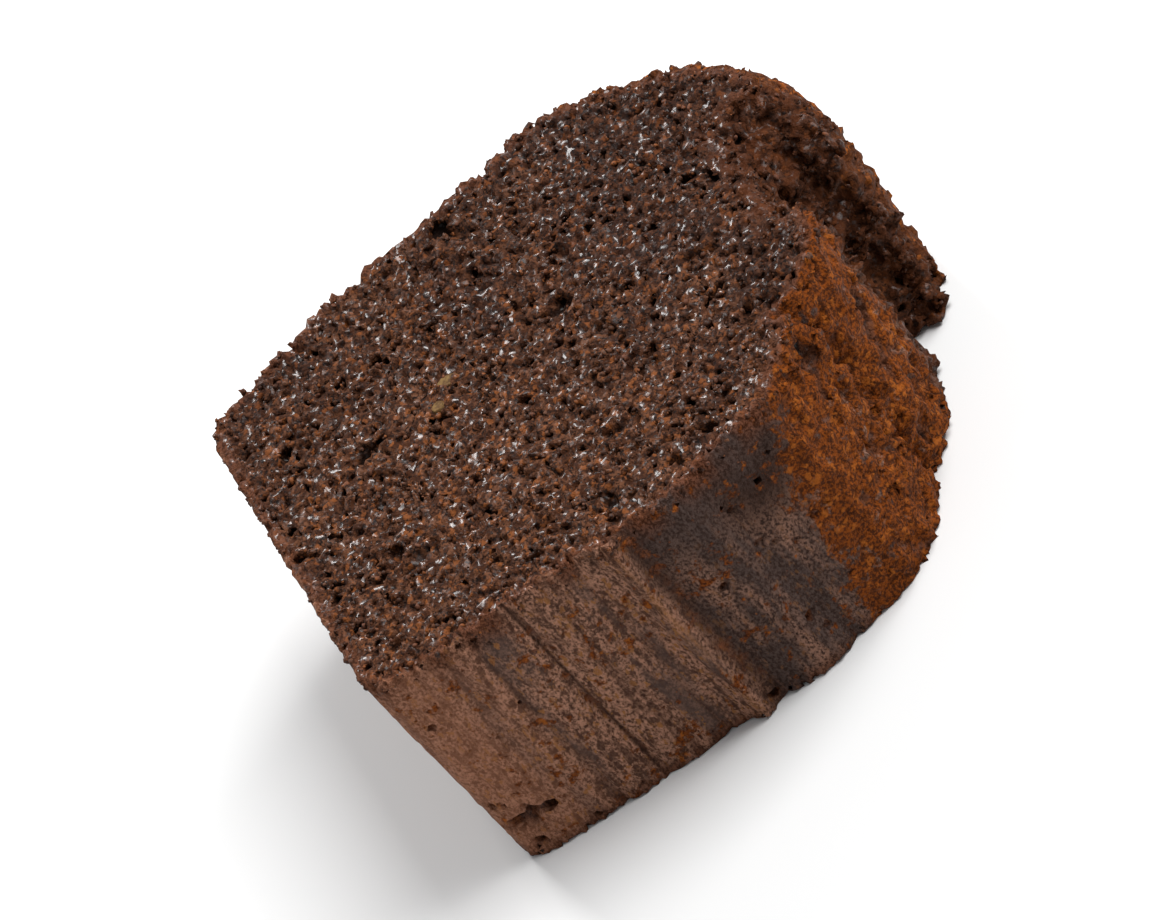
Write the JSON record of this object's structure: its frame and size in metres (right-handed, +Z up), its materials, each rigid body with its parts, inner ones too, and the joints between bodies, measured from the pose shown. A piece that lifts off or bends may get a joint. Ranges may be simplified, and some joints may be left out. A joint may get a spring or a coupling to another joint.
{
  "type": "chocolate loaf cake slice",
  "caption": "Thick slice of dark chocolate loaf cake lying on a cut face, with a paper-creased side wall and a burst domed top crust.",
  "frame": {"origin": "centre of the slice's bounding box at the bottom, on the surface it lies on", "axes": "+X across the loaf, +Y from the loaf's base to its domed top, +Z up out of the cut face that shows"},
  "size_m": [0.0722, 0.0784, 0.033],
  "materials": {
    "crumb": "moist, open, matt chocolate crumb with a browned crust round its outside"
  },
  "bodies": {
    "root": {"cake_slice": "crumb"}
  },
  "joints": []
}
